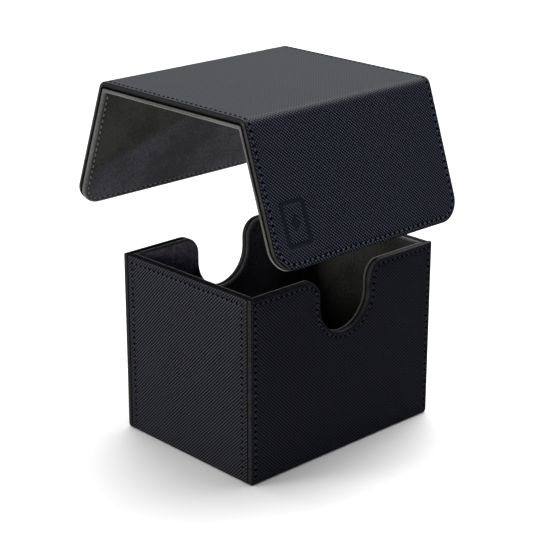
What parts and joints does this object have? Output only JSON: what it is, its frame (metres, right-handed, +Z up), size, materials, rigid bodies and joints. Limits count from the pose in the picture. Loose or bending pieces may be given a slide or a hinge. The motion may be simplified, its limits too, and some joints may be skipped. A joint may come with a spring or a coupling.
{
  "type": "card deck box",
  "caption": "Fabric-covered board box for a deck of trading cards: a tray with thumb notches in two walls, and a magnetic wrap-over lid in three hinged panels, lifted clear of it.",
  "frame": {"origin": "centre of the tray's underside, on the table", "axes": "+X along the tray's long side, -Y out of the front wall, +Z up; the box stands on its base with the lid lifted above it"},
  "size_m": [0.105, 0.1272, 0.1505],
  "materials": {
    "covering": "woven-embossed imitation leather, satin",
    "lining": "brushed microfibre, matt",
    "board": "grey board, matt",
    "magnet": "nickel-plated magnet",
    "thread": "black polyester thread"
  },
  "bodies": {
    "tray": {"tray_cover": "covering", "left_end_cover": "covering", "right_end_cover": "covering", "front_wall_board": "board", "back_wall_board": "board", "left_end_board": "board", "right_end_board": "board", "base_board": "board", "tray_lining": "lining", "left_end_lining": "lining", "right_end_lining": "lining", "front_wall_magnet_left": "magnet", "front_wall_magnet_right": "magnet", "back_wall_magnet_left": "magnet", "back_wall_magnet_right": "magnet", "front_wall_stitching": "thread", "back_wall_stitching": "thread", "left_end_stitching": "thread", "right_end_stitching": "thread"},
    "lid_top": {"lid_top_cover": "covering", "lid_top_board": "board", "lid_top_lining": "lining", "lid_top_left_stitching": "thread", "lid_top_right_stitching": "thread"},
    "front_flap": {"front_flap_cover": "covering", "front_flap_board": "board", "front_flap_lining": "lining", "front_flap_magnet_left": "magnet", "front_flap_magnet_right": "magnet", "front_flap_stitching": "thread"},
    "back_flap": {"back_flap_cover": "covering", "back_flap_board": "board", "back_flap_lining": "lining", "back_flap_magnet_left": "magnet", "back_flap_magnet_right": "magnet", "back_flap_stitching": "thread"}
  },
  "joints": [
    {"name": "lid_lift", "type": "slide", "parent": "tray", "child": "lid_top", "axis": [0, 0.1274, 0.9919], "range_m": [-0.06674, 0.02]},
    {"name": "front_flap_fold", "type": "hinge", "parent": "lid_top", "child": "front_flap", "pos_m": [0, -0.03355, 0.14825], "axis": [-1, 0, 0], "range_deg": [-19, 71]},
    {"name": "back_flap_fold", "type": "hinge", "parent": "lid_top", "child": "back_flap", "pos_m": [0, 0.05055, 0.14825], "axis": [1, 0, 0], "range_deg": [-20, 70]}
  ]
}
